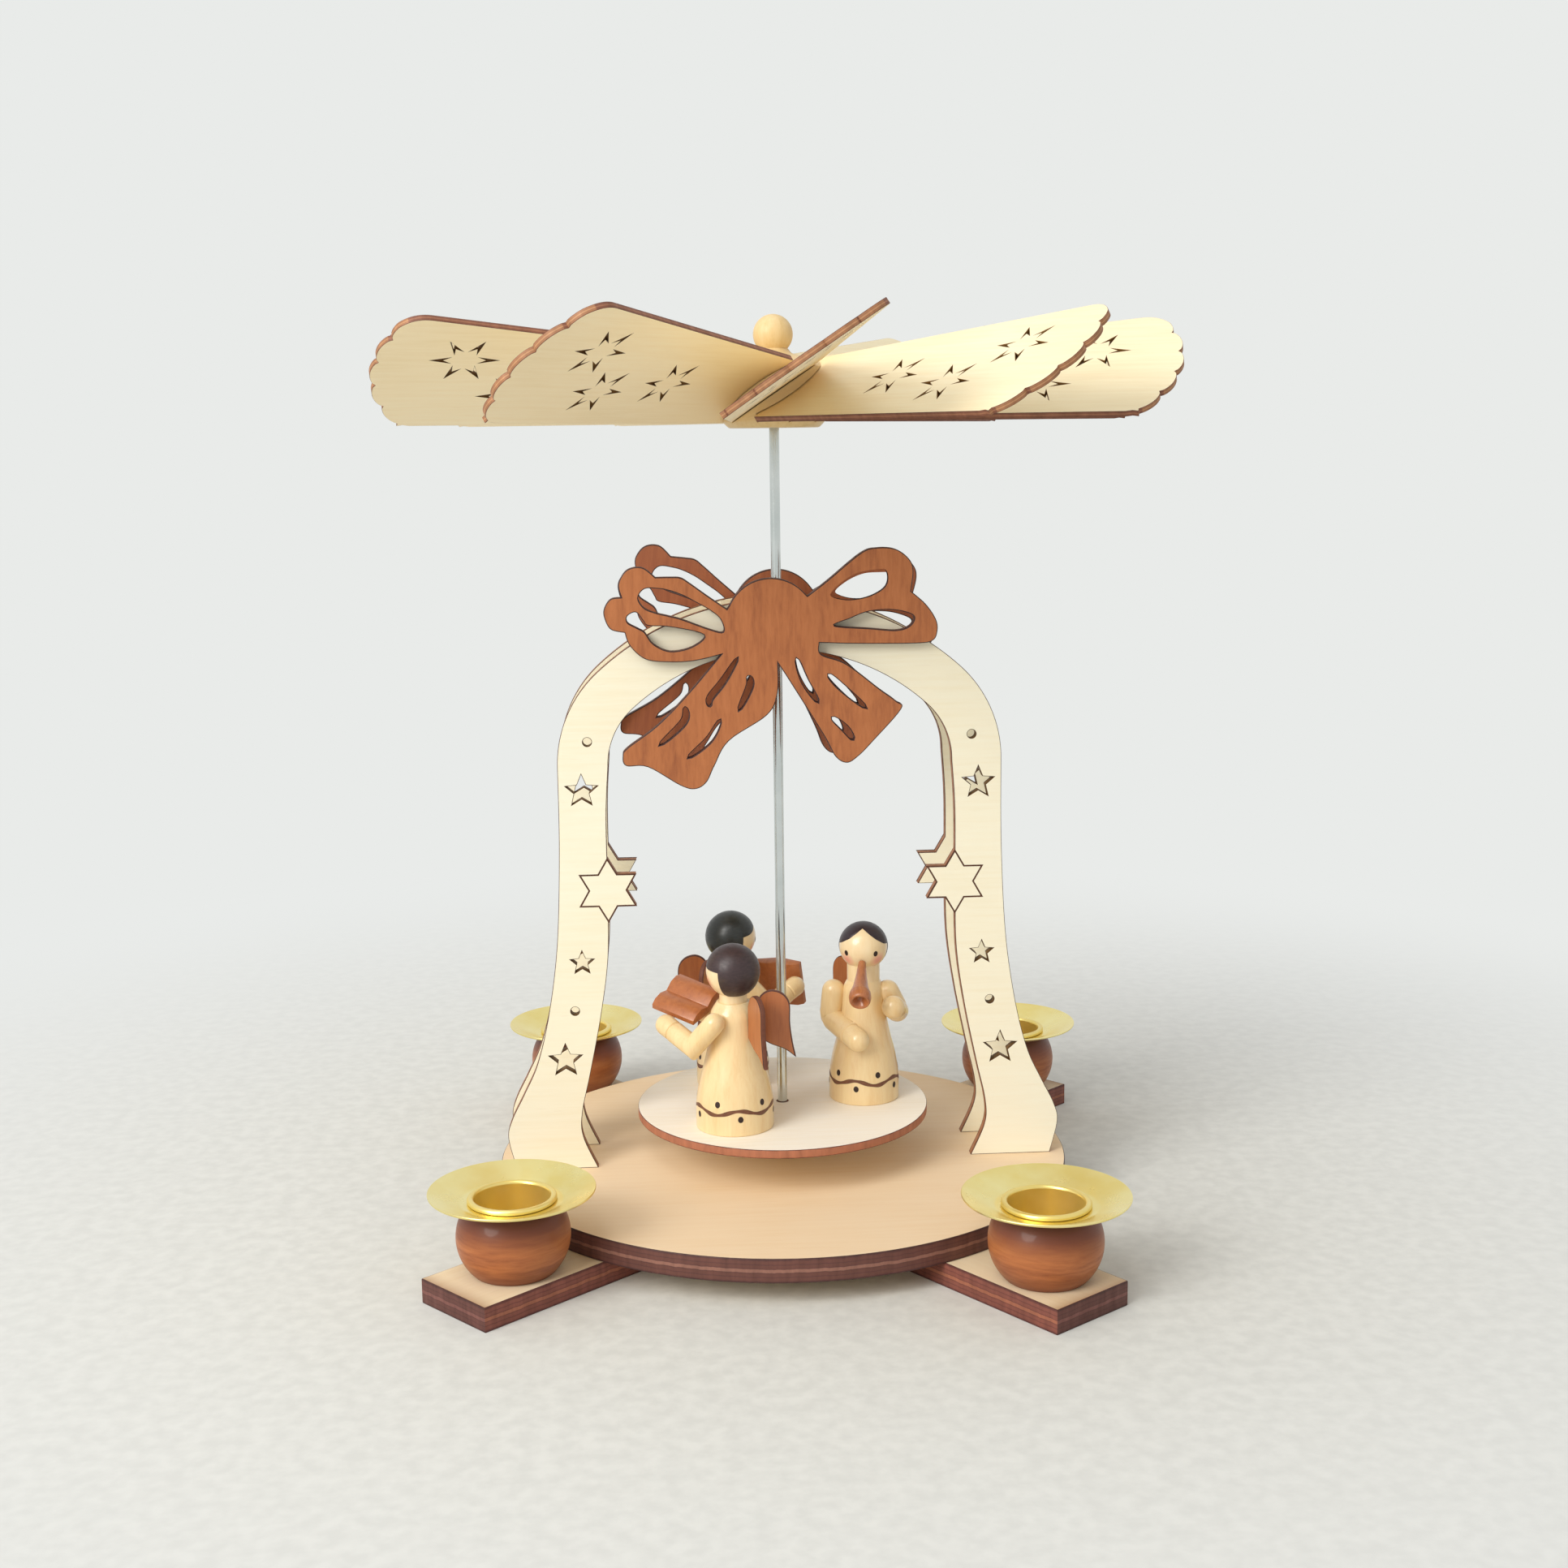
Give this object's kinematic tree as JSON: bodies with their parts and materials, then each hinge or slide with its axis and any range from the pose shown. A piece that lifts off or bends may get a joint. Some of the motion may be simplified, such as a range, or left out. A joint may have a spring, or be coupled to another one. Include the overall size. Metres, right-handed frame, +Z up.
{
  "type": "christmas pyramid",
  "caption": "Wooden candle pyramid: arches on a cross of bars with candle holders guide a spindle, whose wheel of slanted blades turns a small turntable with angel figures.",
  "frame": {"origin": "on the floor under the spindle, at the middle of the cross", "axes": "+Z up along the spindle, -Y to the front, the arches parallel to XZ"},
  "size_m": [0.1942, 0.2002, 0.2277],
  "materials": {
    "birch": "bare birch plywood, sawn edges burnt brown",
    "stained_ply": "stained plywood, satin",
    "turned_ball": "stained and lacquered, glossy",
    "brass": "polished",
    "steel": "drawn rod, bright",
    "varnished_wood": "clear lacquer, glossy",
    "stained_wing": "stained and lacquered"
  },
  "bodies": {
    "stand": {"crossbar_lower": "birch", "crossbar_upper": "birch", "base_plate": "birch", "pivot_bearing": "steel", "candle_holder_front_left": "turned_ball", "candle_holder_front_right": "turned_ball", "candle_holder_rear_right": "turned_ball", "candle_holder_rear_left": "turned_ball", "drip_dish_front_left": "brass", "drip_dish_front_right": "brass", "drip_dish_rear_right": "brass", "drip_dish_rear_left": "brass", "candle_cup_front_left": "brass", "candle_cup_front_right": "brass", "candle_cup_rear_right": "brass", "candle_cup_rear_left": "brass", "arch_front": "birch", "arch_rear": "birch", "bridge": "birch", "bow_front": "stained_ply", "bow_rear": "stained_ply"},
    "carousel": {"spindle": "steel", "turntable_disc": "birch", "turntable_hub": "birch", "rotor_hub": "birch", "blade_01": "birch", "blade_02": "birch", "blade_03": "birch", "blade_04": "birch", "blade_05": "birch", "blade_06": "birch", "blade_07": "birch", "blade_08": "birch", "blade_09": "birch", "blade_10": "birch", "angel_a_body": "varnished_wood", "angel_a_head": "varnished_wood", "angel_a_arm_right": "varnished_wood", "angel_a_arm_left": "varnished_wood", "angel_a_wing_right": "stained_wing", "angel_a_wing_left": "stained_wing", "angel_a_horn": "stained_wing", "angel_b_body": "varnished_wood", "angel_b_head": "varnished_wood", "angel_b_arm_right": "varnished_wood", "angel_b_arm_left": "varnished_wood", "angel_b_wing_right": "stained_wing", "angel_b_wing_left": "stained_wing", "angel_b_book": "stained_wing", "angel_c_body": "varnished_wood", "angel_c_head": "varnished_wood", "angel_c_arm_right": "varnished_wood", "angel_c_arm_left": "varnished_wood", "angel_c_wing_right": "stained_wing", "angel_c_wing_left": "stained_wing", "angel_c_book": "stained_wing"}
  },
  "joints": [
    {"name": "carousel_spin", "type": "hinge", "parent": "stand", "child": "carousel", "pos_m": [0, 0, 0.01], "axis": [0, 0, 1], "continuous": true}
  ]
}
